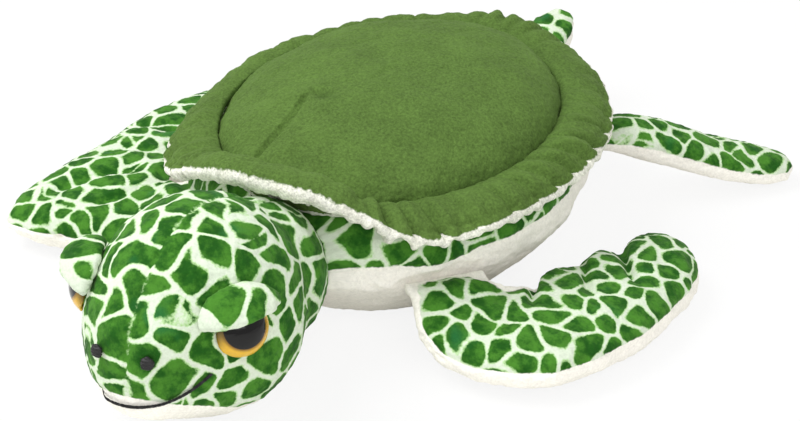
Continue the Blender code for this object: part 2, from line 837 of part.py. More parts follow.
def make_limb(name, looks, form, place, along, root_width, columns):
    """Top and bottom panels, stuffing and the rolled seam allowance of one limb."""
    pivot = add_pivot(name + "_axis", place)
    frame = roll_matrix(place, along)
    length = root_width + 2 * seam_gap
    roll_room = add_cutter(name + "_roll_room",
                           rod(roll_radius + seam_gap, length, frame, roll_columns))
    half = columns // 2
    top = cloth_panel(form, plush_thickness, columns=(0, half))
    bottom = cloth_panel(form, plush_thickness, columns=(half, columns))
    add_part(name + "_top_panel", top, looks["pattern"], pivot)
    add_part(name + "_bottom_panel", bottom, looks["cream"], pivot)
    core = solid(slimmed(form, plush_thickness + 3 * seam_gap))
    add_part(name + "_filling", core, looks["filling"], pivot)
    add_part(name + "_root_roll", rod(roll_radius, root_width, frame, roll_columns),
             looks["pattern"], pivot)
    return roll_room


def lifted(share, thickness):
    """Height of a seam: share 0 lets the limb lie on the floor and 1 is the belly seam."""
    low = thickness + limb_floor_gap
    return low + share * (belly_seam_height - low)


def front_point(place, hand, shares, thickness):
    x, y, lift = shares
    return Vector((place.x + hand * x * front_reach, place.y + y * front_length,
                   lifted(lift, thickness)))


def front_form(place, out, along, hand):
    table = front_left_shares if hand > 0 else front_right_shares
    tip_x, tip_y = front_left_tip_shares if hand > 0 else front_right_tip_shares
    rings = [root_ring(place, out, along, front_root_width, front_columns)]
    for row, shares in enumerate(table):
        thickness = shares[-1] * front_thickness
        lead, trail = (front_point(place, hand, shares[i:i + 3], thickness) for i in (0, 3))
        crease = front_crease_depth if row in front_crease_rows else 0.0
        trail = moved_towards(trail, lead, crease)
        rings.append(pillow_ring(lead, trail, thickness, front_columns, crease))
    tip = Vector((place.x + hand * tip_x * front_reach, place.y + tip_y * front_length,
                  rings[-1][0].z))
    return rings, True, tip


def rear_form(place, out, along, hand, heading_deg):
    turn = math.radians(heading_deg)
    forward = Vector((hand * math.cos(turn), math.sin(turn), 0))
    side = up.cross(forward) * hand
    rings = [root_ring(place, out, along, rear_root_width, rear_columns)]
    for share, width, lift, thick in rear_shares:
        thickness = thick * rear_thickness
        middle = place + forward * share * rear_length
        middle.z = lifted(lift, thickness)
        reach = side * width * rear_half_width
        rings.append(pillow_ring(middle - reach, middle + reach, thickness, rear_columns))
    tip = place + forward * rear_length
    tip.z = rings[-1][0].z
    return rings, True, tip


def tail_form(place, out, along):
    rings = [root_ring(place, out, along, tail_root_width, tail_columns)]
    for share, width, thick in tail_shares:
        middle = place + out * share * tail_length + up * tail_rise * share ** tail_rise_power_share
        reach = along * width * tail_half_width
        rings.append(pillow_ring(middle - reach, middle + reach, thick * tail_thickness,
                                 tail_columns))
    return rings, True, place + out * tail_length + up * tail_rise


def make_limbs(looks):
    sockets = []
    for hand, word, heading_deg in ((1, "left", rear_left_heading_deg),
                                    (-1, "right", rear_right_heading_deg)):
        place, out, along = limb_root(front_root_angle_deg, hand)
        sockets.append(make_limb("front_flipper_" + word, looks,
                                 front_form(place, out, along, hand), place, along,
                                 front_root_width, front_columns))
        place, out, along = limb_root(rear_root_angle_deg, hand)
        sockets.append(make_limb("rear_flipper_" + word, looks,
                                 rear_form(place, out, along, hand, heading_deg), place,
                                 along, rear_root_width, rear_columns))
    place, out, along = limb_root(90, 1)
    sockets.append(make_limb("tail", looks, tail_form(place, out, along), place, along,
                             tail_root_width, tail_columns))
    return sockets


def main():
    clear_scene()
    looks = make_finishes()
    sockets = make_limbs(looks)
    make_body(looks, sockets + [neck_socket()])
    make_rim(looks)
    make_head(looks)


main()
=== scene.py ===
import math

import bpy
import numpy as np
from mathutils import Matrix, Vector
from mathutils.bvhtree import BVHTree


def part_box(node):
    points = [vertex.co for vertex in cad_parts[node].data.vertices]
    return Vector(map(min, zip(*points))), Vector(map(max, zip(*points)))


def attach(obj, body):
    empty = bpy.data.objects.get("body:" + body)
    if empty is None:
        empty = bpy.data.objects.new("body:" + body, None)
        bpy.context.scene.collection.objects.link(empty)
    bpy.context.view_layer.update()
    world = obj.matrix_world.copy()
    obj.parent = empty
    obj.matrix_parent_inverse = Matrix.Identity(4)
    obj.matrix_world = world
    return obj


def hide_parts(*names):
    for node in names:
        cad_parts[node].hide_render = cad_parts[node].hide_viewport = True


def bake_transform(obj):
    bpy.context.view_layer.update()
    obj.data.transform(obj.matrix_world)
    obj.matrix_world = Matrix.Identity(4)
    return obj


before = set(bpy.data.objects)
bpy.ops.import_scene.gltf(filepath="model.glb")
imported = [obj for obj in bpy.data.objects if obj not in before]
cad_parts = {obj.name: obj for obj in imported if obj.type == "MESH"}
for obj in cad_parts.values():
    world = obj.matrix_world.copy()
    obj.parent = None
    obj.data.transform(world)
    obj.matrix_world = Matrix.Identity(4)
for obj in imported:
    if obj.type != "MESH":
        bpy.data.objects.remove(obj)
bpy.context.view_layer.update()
mm = 0.001


# the view, the floor and the light

photoView = {"azimuthDeg": 31.0, "elevationDeg": 30.0, "distance": 1200 * mm,
             "aim": (19 * mm, -25 * mm, 30 * mm), "lens": 148.5, "sensorWidth": 36.0}
room = {"floorSize": 8, "floorGlow": 0.86, "worldStrength": 0.68}
lamps = {
    "keyLamp": {"place": (-0.55, -0.35, 1.05), "size": 0.7, "watts": 10.5},
    "fillLamp": {"place": (0.75, -0.85, 0.75), "size": 0.9, "watts": 4.5},
}
colours = {  # screen colours, 0 to 255
    # the second shell green is the darker one, for brushed nap and painted shade
    "shellGreen": (85, 112, 52), "shellNapAndShade": (58, 82, 34), "shellSheen": (170, 205, 120),
    "lining": (236, 236, 226), "liningShade": (222, 220, 206), "cream": (249, 245, 236),
    "printWhite": (215, 226, 205), "patchFringe": (176, 212, 150), "patchDark": (30, 84, 21),
    "patchLight": (72, 130, 42), "patchBlue": (36, 106, 54), "printSheen": (215, 235, 190),
    "thread": (16, 15, 16), "washer": (190, 190, 190), "pupil": (9, 8, 8),
    "amberInner": (120, 84, 30), "amberOuter": (240, 190, 50), "amberStreak": (150, 105, 30),
    "amberShade": (92, 76, 38), "floor": (240, 240, 238),
}


def placeCamera(view):
    turn, lift = math.radians(view["azimuthDeg"]), math.radians(view["elevationDeg"])
    back = Vector((math.sin(turn) * math.cos(lift), -math.cos(turn) * math.cos(lift),
                   math.sin(lift)))
    bpy.ops.object.camera_add(location=Vector(view["aim"]) + back * view["distance"],
                              rotation=(-back).to_track_quat("-Z", "Y").to_euler())
    camera = bpy.context.object
    camera.data.lens, camera.data.sensor_width = view["lens"], view["sensorWidth"]
    camera.data.clip_start = 10 * mm
    bpy.context.scene.camera = camera
    bpy.context.scene.view_settings.view_transform = "Standard"


def tint(name):
    # a colour of the table above as a linear one
    return [((v / 255 + 0.055) / 1.055) ** 2.4 if v > 10 else v / 255 / 12.92
            for v in colours[name]] + [1.0]


class Wire:
    # one socket of a paint's node tree, which takes part in sums
    def __init__(self, paint, socket):
        self.paint, self.socket = paint, socket

    def maths(self, operation, *others):
        values = dict(enumerate((self,) + others))
        return self.paint.add("ShaderNodeMath", {"operation": operation}, values)

    def __add__(self, other): return self.maths("ADD", other)
    def __radd__(self, other): return self.maths("ADD", other)
    def __sub__(self, other): return self.maths("SUBTRACT", other)
    def __rsub__(self, other): return (self * -1).maths("ADD", other)
    def __mul__(self, other): return self.maths("MULTIPLY", other)
    def __rmul__(self, other): return self.maths("MULTIPLY", other)
    def __pow__(self, other): return self.maths("POWER", other)

    def most(self, other): return self.maths("MAXIMUM", other)

    def step(self, low, high):
        # 0 below low, 1 above high, smooth between them
        return self.paint.add("ShaderNodeMapRange", {"interpolation_type": "SMOOTHSTEP"},
                              {"Value": self, "From Min": low, "From Max": high})


class Paint:
    # a material whose nodes are made one call at a time
    def __init__(self, name):
        self.material = bpy.data.materials.new(name)
        self.material.use_nodes = True
        self.tree = self.material.node_tree
        self.tree.nodes.clear()

    def add(self, kind, settings=None, values=None, output=0):
        node = self.tree.nodes.new(kind)
        for key, value in (settings or {}).items():
            setattr(node, key, value)
        for key, value in (values or {}).items():
            if isinstance(value, Wire):
                self.tree.links.new(value.socket, node.inputs[key])
            else:
                node.inputs[key].default_value = value
        return Wire(self, node.outputs[output]) if node.outputs else None

    def mix(self, share, first, second, blend="MIX"):
        return self.add("ShaderNodeMix", {"data_type": "RGBA", "blend_type": blend},
                        {0: share, 6: first, 7: second}, output=2)

    def vector(self, operation, first, second=None, output=0):
        values = {0: first} if second is None else {0: first, 1: second}
        return self.add("ShaderNodeVectorMath", {"operation": operation}, values, output)

    def kept(self, name, output=1):
        # an attribute of the piece: 1 is its vector, 2 its number
        return self.add("ShaderNodeAttribute", {"attribute_name": name}, output=output)

    def objectPlace(self):
        return self.add("ShaderNodeTexCoord", output=3)

    def noise(self, place, scale, detail=2.0, roughness=0.5):
        return self.add("ShaderNodeTexNoise", None, {"Vector": place, "Scale": scale,
                                                     "Detail": detail, "Roughness": roughness})

    def surface(self, colour, roughness, **others):
        values = {"Base Color": colour, "Roughness": roughness, **others}
        return self.finish(self.add("ShaderNodeBsdfPrincipled", None, values))

    def finish(self, shader):
        self.add("ShaderNodeOutputMaterial", None, {"Surface": shader})
        return self.material


def makeStage():
    bpy.ops.mesh.primitive_plane_add(size=room["floorSize"], location=(0, 0, 0))
    floor = bpy.context.object
    floor.name = "studioFloor"
    paint = Paint("paleFloor")
    matt = paint.add("ShaderNodeBsdfDiffuse", None, {"Color": tint("floor")})
    glow = paint.add("ShaderNodeEmission", None, {"Color": (1, 1, 1, 1), "Strength": 1.0})
    seen = paint.add("ShaderNodeLightPath")
    floor.data.materials.append(paint.finish(paint.add(
        "ShaderNodeMixShader", None, {0: seen * room["floorGlow"], 1: matt, 2: glow})))
    world = bpy.data.worlds.new("softRoom")
    world.use_nodes = True
    bpy.context.scene.world = world
    light = world.node_tree.nodes["Background"].inputs
    light["Color"].default_value = (1, 1, 1, 1)
    light["Strength"].default_value = room["worldStrength"]


def makeLamps():
    for name, lamp in lamps.items():
        place = Vector(lamp["place"])
        bpy.ops.object.light_add(type="AREA", location=place,
                                 rotation=(-place).to_track_quat("-Z", "Y").to_euler())
        light = bpy.context.object
        light.name = name
        light.data.size, light.data.energy = lamp["size"], lamp["watts"]


# working on a mesh

def choose(*pieces):
    bpy.ops.object.select_all(action="DESELECT")
    for piece in pieces:
        piece.select_set(True)
    bpy.context.view_layer.objects.active = pieces[0]


def useModifier(piece, kind, **settings):
    choose(piece)
    bpy.ops.object.modifier_add(type=kind)
    modifier = piece.modifiers[-1]
    for key, value in settings.items():
        setattr(modifier, key, value)
    bpy.ops.object.modifier_apply(modifier=modifier.name)


def subdivide(piece, levels):
    useModifier(piece, "SUBSURF", levels=levels, render_levels=levels)


def remesh(piece, voxel, smoothings):
    # an even skin over everything in the piece, its sharp edges rounded
    choose(piece)
    piece.data.remesh_voxel_size = voxel * mm
    bpy.ops.object.voxel_remesh()
    useModifier(piece, "SMOOTH", factor=0.5, iterations=smoothings)


def copyOfNodes(name, nodes):
    # one new piece from copies of CAD nodes, with their loose triangles merged
    parts = []
    for node in nodes:
        part = bpy.data.objects.new(name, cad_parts[node].data.copy())
        bpy.context.scene.collection.objects.link(part)
        parts.append(part)
    choose(*parts)
    if len(parts) > 1:
        bpy.ops.object.join()
    piece = bpy.context.object
    piece.name = name
    piece.data.materials.clear()
    bpy.ops.object.mode_set(mode="EDIT")
    bpy.ops.mesh.select_all(action="SELECT")
    bpy.ops.mesh.remove_doubles(threshold=0.01 * mm)
    bpy.ops.mesh.normals_make_consistent(inside=False)
    bpy.ops.object.mode_set(mode="OBJECT")
    return piece


def placesOf(piece):
    places = np.empty(len(piece.data.vertices) * 3)
    piece.data.vertices.foreach_get("co", places)
    return places.reshape(-1, 3)


def normalsOf(piece):
    normals = np.empty(len(piece.data.vertices) * 3)
    piece.data.vertices.foreach_get("normal", normals)
    return normals.reshape(-1, 3)


def setPlaces(piece, places):
    piece.data.vertices.foreach_set("co", places.ravel())
    piece.data.update()


def push(piece, out):
    # moves the points of a piece outwards, by one number of mm or one for each point
    far = np.broadcast_to(out, len(piece.data.vertices)) * mm
    setPlaces(piece, placesOf(piece) + normalsOf(piece) * far[:, None])


def keep(piece, name, values):
    # stores a number or a vector on each point of a piece, for its paint
    values = np.asarray(values, np.float32)
    if values.ndim == 0:
        values = np.full(len(piece.data.vertices), values)
    kind, key = ("FLOAT", "value") if values.ndim == 1 else ("FLOAT_VECTOR", "vector")
    made = piece.data.attributes.get(name) or piece.data.attributes.new(name, kind, "POINT")
    made.data.foreach_set(key, values.astype(np.float32).ravel())


def kept(piece, name):
    values = np.empty(len(piece.data.vertices))
    piece.data.attributes[name].data.foreach_get("value", values)
    return values


def surfaceOf(meshes):
    corners, faces = [], []
    for mesh in meshes:
        start = len(corners)
        corners += [v.co.copy() for v in mesh.vertices]
        faces += [[i + start for i in face.vertices] for face in mesh.polygons]
    return BVHTree.FromPolygons(corners, faces)


def distanceTo(nodes, places):
    # distance in mm from each place to the nearest of some CAD nodes
    surface = surfaceOf([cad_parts[node].data for node in nodes])
    return np.array([surface.find_nearest(Vector(p))[3] for p in places]) / mm


def lineDistance(places, line):
    # how far each place is from a line of points, how far along it, and its length
    best, along, gone = np.full(len(places), 1e9), np.zeros(len(places)), 0.0
    for first, last in zip(line[:-1], line[1:]):
        way = last - first
        length = np.linalg.norm(way)
        share = np.clip((places - first) @ way / length ** 2, 0, 1)
        far = np.linalg.norm(places - first - share[:, None] * way, axis=1)
        nearer = far < best
        best[nearer], along[nearer] = far[nearer], gone + share[nearer] * length
        gone += length
    return best, along, gone


def press(piece, line, width, depth, ends, flat=True):
    # a soft groove along a line in mm, shallower over a share of it at each end; a negative
    # depth raises a fold; a flat line has no height and reaches only the upper side
    places, line = placesOf(piece), np.array(line, float) * mm
    if flat:
        places[:, 2] = 0
        line = np.hstack([line, np.zeros((len(line), 1))])
    far, along, length = lineDistance(places, line)
    fade = np.clip(np.minimum(along, length - along) / (length * ends), 0, 1)
    over = np.clip(normalsOf(piece)[:, 2] + 0.6, 0, 1) if flat else 1
    push(piece, -depth * np.exp(-(far / (width * mm)) ** 2) * fade * over)


def smoothStep(values, low, high):
    share = np.clip((values - low) / (high - low), 0, 1)
    return share * share * (3 - 2 * share)


def waves(places, size, seed, count=8):
    # a smooth number for each place, mostly -1 to 1, in lumps of this size in mm
    draw = np.random.default_rng(seed)
    total = np.zeros(len(places))
    for _ in range(count):
        way = draw.normal(size=3)
        way *= math.pi / (np.linalg.norm(way) * size * mm * draw.uniform(0.7, 1.4))
        total += np.sin(places @ way + draw.uniform(0, 6.3))
    return total / math.sqrt(count)


# stuffed cloth

stuffing = {"quality": 4, "pressure": 4, "moments": 20, "quickShare": 0.2}
# size in mm, seed, count of waves and height in mm of each kind of unevenness
pileWaves = [(1.6, 8, 12, 0.12), (3.5, 9, 12, 0.1)]


def puff(piece, slack, cap):
    # the stuffing swells the cloth from a form that is smaller by the slack, to the cap past it
    start = placesOf(piece) - normalsOf(piece) * slack * mm
    setPlaces(piece, start)
    choose(piece)
    bpy.ops.object.modifier_add(type="CLOTH")
    cloth = piece.modifiers[-1]
    cloth.settings.quality = stuffing["quality"]
    cloth.settings.use_pressure = True
    cloth.settings.uniform_pressure_force = stuffing["pressure"]
    cloth.settings.effector_weights.gravity = 0
    for moment in range(1, stuffing["moments"] + 1):
        bpy.context.scene.frame_set(moment)
    bpy.ops.object.modifier_apply(modifier=cloth.name)
    bpy.context.scene.frame_set(1)
    moved = placesOf(piece) - start
    far = np.linalg.norm(moved, axis=1)
    print("cloth", piece.name, "moved", round(far.mean() / mm, 2), "mm at most",
          round(far.max() / mm, 2))
    reach = (slack + cap) * mm
    setPlaces(piece, start + moved * np.minimum(1, reach / np.maximum(far, 1e-9))[:, None])


def stuffed(look):
    # the outer form of some CAD nodes as one puffed cloth skin, with its seam drawn in;
    # liningSide is how far each point lies past the seam, from the first cloth to the second
    piece = copyOfNodes(look["name"], look["nodes"])
    remesh(piece, look["voxel"], look["smoothings"])
    puff(piece, look["slack"], look["cap"])
    places = placesOf(piece)
    keep(piece, "liningSide", distanceTo(look["first"], places)
         - distanceTo(look["second"], places) + look["seamUp"])
    subdivide(piece, look["levels"])
    places = placesOf(piece)
    push(piece, look["lumps"] * (waves(places, 20, 3) + 0.45 * waves(places, 8, 4)))
    side = kept(piece, "liningSide")
    push(piece, -look["seamDepth"] * np.exp(-(side / look["seamWidth"]) ** 2))
    print(look["name"], len(piece.data.polygons), "faces")
    return piece


def dress(piece, material, slot, *nodes):
    choose(piece)
    bpy.ops.object.shade_smooth()
    piece.data.materials.append(material)
    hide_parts(*nodes)


def finishCloth(piece, material, slot, nodes):
    # keeps each point's place for the paint, roughens the pile and rests the cloth on the floor
    places = placesOf(piece)
    keep(piece, "restPlace", places)
    push(piece, sum(waves(places, size, seed, count) * height
                    for size, seed, count, height in pileWaves))
    places = placesOf(piece)
    places[:, 2] = np.maximum(places[:, 2], 0)
    setPlaces(piece, places)
    dress(piece, material, slot, *nodes)


# the print: rounded patches round centres spread over the cloth

cells = {"driftSize": 9, "driftSeeds": (21, 22, 23), "raggedSize": 5, "raggedSeed": 31,
         "ragged": 0.25, "cutHalf": 0.75, "cutTaper": 0.12, "cutReach": 6,
         "tries": 9000, "nearest": 0.85, "farthest": 1.25, "batch": 10000}
never = 99  # mm, where no line is wanted


def patchCentres(places, spacing, seed):
    draw = np.random.default_rng(seed)
    chosen = places[:1]
    for place in places[draw.permutation(len(places))[:cells["tries"]]]:
        least = spacing * mm * draw.uniform(cells["nearest"], cells["farthest"])
        if ((chosen - place) ** 2).sum(1).min() > least ** 2:
            chosen = np.vstack([chosen, place])
    return chosen


def patchMap(places, centres, look):
    # how many mm each place lies inside its patch, before the line's half width comes off;
    # some patches are cut in two by a line through their centre
    drift = np.stack([waves(places, cells["driftSize"], seed) for seed in cells["driftSeeds"]], 1)
    drifted = places + drift * look["drift"] * mm
    draw = np.random.default_rng(len(centres))
    ways = draw.normal(size=centres.shape)
    ways /= np.linalg.norm(ways, axis=1)[:, None]
    cutHere = draw.random(len(centres)) < look["cuts"]
    gaps = np.linalg.norm(centres[:, None] - centres[None], axis=2) + np.eye(len(centres))
    inside = np.empty(len(places))
    for start in range(0, len(places), cells["batch"]):
        block = drifted[start:start + cells["batch"]]
        far = ((block[:, None] - centres[None]) ** 2).sum(2)
        nearest = far.argmin(1)
        edge = (far - far.min(1)[:, None]) / (2 * gaps[nearest]) / mm
        edge[np.arange(len(block)), nearest] = never
        depth = -look["round"] * np.log(np.exp(-edge / look["round"]).sum(1))
        away = block - centres[nearest]
        across = np.abs((away * ways[nearest]).sum(1)) / mm
        outer = np.linalg.norm(away, axis=1) / mm
        cut = (across + look["line"] - cells["cutHalf"]
               + cells["cutTaper"] * np.maximum(0, cells["cutReach"] - outer))
        cut[~cutHere[nearest]] = never
        inside[start:start + cells["batch"]] = np.minimum(depth, cut)
    return inside + waves(places, cells["raggedSize"], cells["raggedSeed"]) * cells["ragged"]


def printCells(piece, look, centres=None):
    places = placesOf(piece)
    if centres is None:
        centres = patchCentres(places, look["spacing"], look["seed"])
    keep(piece, "patchEdge", patchMap(places, centres, look) - look["line"])


# cloth finishes

shellPile = {"napScale": 55.0, "tuftScale": 1000.0, "napShade": 0.75, "tuftShade": 1.35,
             "bump": 0.95, "sheen": 0.16, "sheenTint": "shellSheen"}
printPile = {"napScale": 130.0, "tuftScale": 1000.0, "napShade": 0.16, "tuftShade": 0.4,
             "bump": 0.5, "sheen": 0.10, "sheenTint": "printSheen"}


def clothFinish(paint, colour, place, pile):
    # short pile: the nap lies in soft patches, with fine tufts over it
    nap = paint.noise(place, pile["napScale"], 4.0, 0.62)
    tufts = paint.noise(place, pile["tuftScale"], 2.0, 0.7)
    shade = 1 + (nap - 0.5) * pile["napShade"] + (tufts - 0.5) * pile["tuftShade"]
    grey = paint.add("ShaderNodeCombineColor", None, {0: shade, 1: shade, 2: shade})
    clumps = paint.noise(place, pile["tuftScale"] * 0.45, 2.0, 0.6)
    normal = paint.add("ShaderNodeBump", None, {"Strength": pile["bump"], "Distance": 0.6 * mm,
                                                "Height": tufts * 0.7 + clumps * 0.9})
    return paint.surface(paint.mix(1.0, colour, grey, "MULTIPLY"), 0.85 + (nap - 0.5) * 0.2, **{
        "Normal": normal, "Sheen Weight": pile["sheen"], "Sheen Roughness": 0.45,
        "Sheen Tint": tint(pile["sheenTint"]), "Specular IOR Level": 0.1})


def lining(paint, place, spread):
    # 0 on the first cloth and 1 on the second, with a furry line between them
    fray = (paint.noise(place, 520.0, 2.0, 0.6) - 0.5) * spread
    return (paint.kept("liningSide", 2) + fray).step(-0.3, 0.3)


def shellPaint():
    paint = Paint("greenShellPlush")
    place = paint.kept("restPlace")
    # the darker green is painted shade in creases and hollows plus brushed nap, in spots at listed
    # places with a little noise
    napAndShade = paint.kept("napAndShade", 2) + (paint.noise(place, 160.0, 3.0, 0.7) - 0.5) * 0.5
    green = paint.mix(napAndShade.step(0.25, 0.85), tint("shellGreen"), tint("shellNapAndShade"))
    white = paint.mix(paint.noise(place, 200.0), tint("liningShade"), tint("lining"))
    return clothFinish(paint, paint.mix(lining(paint, place, 1.4), green, white), place, shellPile)


def printPaint():
    # green patches with a pale fringe on white cloth, and cream cloth below
    paint = Paint("printedPlush")
    place = paint.kept("restPlace")
    fine = (paint.noise(place, 900.0, 2.0, 0.6) - 0.5) * 1.1
    edge = paint.kept("patchEdge", 2) + (fine + (paint.noise(place, 260.0) - 0.5) * 0.9)
    tone = paint.noise(place, 150.0, 4.0, 0.65).step(0.36, 0.64)
    green = paint.mix(tone, tint("patchDark"), tint("patchLight"))
    green = paint.mix(paint.noise(place, 60.0).step(0.62, 0.8), green, tint("patchBlue"))
    fringe = paint.mix(edge.step(-0.1, 0.4), tint("patchFringe"), green)
    printed = paint.mix(edge.step(-0.5, 0.05), tint("printWhite"), fringe)
    return clothFinish(paint, paint.mix(lining(paint, place, 0.8), printed, tint("cream")),
                       place, printPile)


# the body and its shell

bodyLook = {"name": "bodyPlush",
            "nodes": ["belly_panel", "body_side_panel", "shell_dome_panel", "body_filling"],
            "first": ["body_side_panel"], "second": ["belly_panel"], "seamUp": 8.0,
            "voxel": 3.0, "smoothings": 3, "levels": 2, "slack": 0.6, "cap": 0.5, "lumps": 0.45,
            "seamWidth": 1.2, "seamDepth": 0.7, "shellHeight": 50.5, "fill": 0.9}
bodyPrint = {"spacing": 8.5, "seed": 5, "drift": 1.5, "round": 0.7, "line": 0.72, "cuts": 0.12}
shellFolds = [
    # the dart's sharp line, the valley round it, the pucker at its end and the hollow beside it
    {"line": [(-19.3, -66), (-18.7, -49.1), (-18.5, -42.1), (-19.1, -33.8), (-20.5, -24.5)],
     "width": 0.9, "depth": 2.0, "ends": 0.1},
    {"line": [(-19, -62), (-18.5, -42), (-20.5, -26)], "width": 6.0, "depth": 1.1, "ends": 0.3},
    {"line": [(-21, -24), (-15.3, -24.2), (-8.7, -25.9)], "width": 2.4, "depth": 1.6, "ends": 0.3},
    {"line": [(-13, -30), (-5, -33)], "width": 4.0, "depth": -0.6, "ends": 0.4},
    {"line": [(-10, -62), (4, -57)], "width": 7.0, "depth": 1.2, "ends": 0.5},
]
napAndShadeSpots = [
    # middle, radius and strength of the places painted darker: partly brushed nap, partly painted
    # shade round the pucker, beside the dart and in the hollow behind the hood
    ((-14, -26), 5.5, 0.5), ((-7, -27), 5.0, 0.35), ((-2, -60), 9.0, 0.4), ((14, -60), 9.0, 0.35),
    ((-26, -52), 6.0, 0.3), ((30, -56), 10.0, 0.3), ((50, -20), 16, 0.25), ((-40, 10), 18, 0.2),
]


def cutAtSeam(piece, below):
    choose(piece)
    bpy.ops.object.mode_set(mode="EDIT")
    bpy.ops.mesh.select_all(action="SELECT")
    bpy.ops.mesh.bisect(plane_co=(0, 0, bodyLook["shellHeight"] * mm), plane_no=(0, 0, 1),
                        use_fill=True, clear_outer=below, clear_inner=not below)
    bpy.ops.object.mode_set(mode="OBJECT")


def keepNapAndShade(piece):
    # soft dark spots, partly brushed nap and partly painted shade, round the listed places
    places = placesOf(piece) / mm
    total = np.zeros(len(places))
    for middle, radius, strength in napAndShadeSpots:
        far = np.hypot(places[:, 0] - middle[0], places[:, 1] - middle[1])
        total += strength * np.exp(-(far / radius) ** 2)
    keep(piece, "napAndShade", total)


def makeBody(green, printed):
    piece = stuffed(bodyLook)
    shell = bpy.data.objects.new("shellPlush", piece.data.copy())
    bpy.context.scene.collection.objects.link(shell)
    cutAtSeam(piece, True)
    cutAtSeam(shell, False)
    printCells(piece, bodyPrint)
    finishCloth(piece, printed, "cream_plush",
                ["belly_panel", "body_side_panel", "body_filling"])
    keep(shell, "liningSide", -never)
    for fold in shellFolds:
        press(shell, **fold)
    # painted shade and brushed nap on the shell
    keepNapAndShade(shell)
    finishCloth(shell, green, "green_shell_plush", ["shell_dome_panel"])
    for half in (piece, shell):
        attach(half, "body")
    return piece


# the rim

rimLook = {"name": "shellRim", "nodes": ["shell_rim_top", "shell_rim_lining"],
           "first": ["shell_rim_top"], "second": ["shell_rim_lining"], "seamUp": 0.0,
           "voxel": 1.5, "smoothings": 9, "levels": 1, "slack": 0.0, "cap": 0.4, "lumps": 0.0,
           "seamWidth": 0.8, "seamDepth": 0.0, "fill": 0.2,
           # how the edge is read: columns round it, its centre, and its width by its length
           "columns": 48, "centre": 1.2, "flat": 0.833, "edgeBand": 1.2, "seamBand": 1.0,
           # the roll along the edge, and the heights between which the flap becomes a hood
           "roll": 1.2, "hoodRoll": 2.8, "rollWidth": 5.5, "crest": 2.2, "crestAt": 5,
           "hoodFrom": 57, "hoodTo": 66,
           # gathers, the deeper folds' share of them, and how the inner edge is sewn down
           "gather": 3.84, "gathers": 22, "foldGain": 2.4, "foldSlant": 6, "arcPerDeg": 1.4,
           "tightIn": 1.9, "tightDown": 1.6,
           # where the white lining starts, as an angle round the roll's core
           "core": 2.6, "whiteFromDeg": -30, "hoodWhiteFromDeg": -2, "fur": 0.6, "furWaves": 0.3}
# turn in degrees and depth in mm of the deeper folds across the flap
rimFolds = [(297, 1.2), (303, 2.2), (309, 2.0), (316, 2.4), (325, 1.2), (336, 1.4), (344, 1.6),
            (351, 2.0), (358, 2.2), (5, 1.8), (12, 1.6), (21, 1.2), (236, 1.0), (214, 1.0),
            (90, 1.0), (120, 1.1), (160, 1.0)]


def turnAndReach(places):
    x, y = places[:, 0] - rimLook["centre"] * mm, places[:, 1] * rimLook["flat"]
    return np.arctan2(y, x), np.hypot(x, y)


def rimCurve(node, outermost):
    # the middle of the outermost or innermost points of a node, column by column round it
    count = rimLook["columns"]
    corners = np.array([v.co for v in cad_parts[node].data.vertices])
    turn, reach = turnAndReach(corners)
    column = np.round(turn / (2 * math.pi) * count).astype(int) % count
    curve = np.zeros((count, 3))
    for i in range(count):
        here, far = corners[column == i], reach[column == i]
        if outermost:
            curve[i] = here[far > far.max() - rimLook["edgeBand"] * mm].mean(0)
        else:
            curve[i] = here[far < far.min() + rimLook["seamBand"] * mm].mean(0)
    return curve


def roundValues(values, turn):
    # values given round the flap, read at each turn, straight between neighbours
    place = (turn / (2 * math.pi) * len(values)) % len(values)
    low = np.floor(place).astype(int)
    share = (place - low)[:, None]
    return values[low % len(values)] * (1 - share) + values[(low + 1) % len(values)] * share


def gatherHeights(turn, share, hood):
    # gathers that fade towards the hood, and the deeper folds with a ridge beside each
    wander = rimLook["gathers"] * turn + 1.3 * np.sin(3 * turn + 1) + 0.9 * np.sin(7 * turn + 2)
    strength = 0.35 + 0.65 * (0.5 + 0.5 * np.sin(5 * turn + 0.6)) * (1 - 0.75 * hood)
    total = (np.abs(np.sin(wander)) - 0.55) * strength * rimLook["gather"]
    degrees = np.degrees(turn) % 360
    for middleTurn, depth in rimFolds:
        slant = rimLook["foldSlant"] * (share - 0.5)
        off = ((degrees - middleTurn - slant + 180) % 360 - 180) * rimLook["arcPerDeg"]
        fold = np.exp(-(off / 1.4) ** 2) - 0.55 * np.exp(-((off - 3.4) / 2.2) ** 2)
        total -= rimLook["foldGain"] * depth * fold
    inShare = np.clip(share, 0, 1)
    return total * inShare ** 0.7 * (1 - 0.55 * inShare)


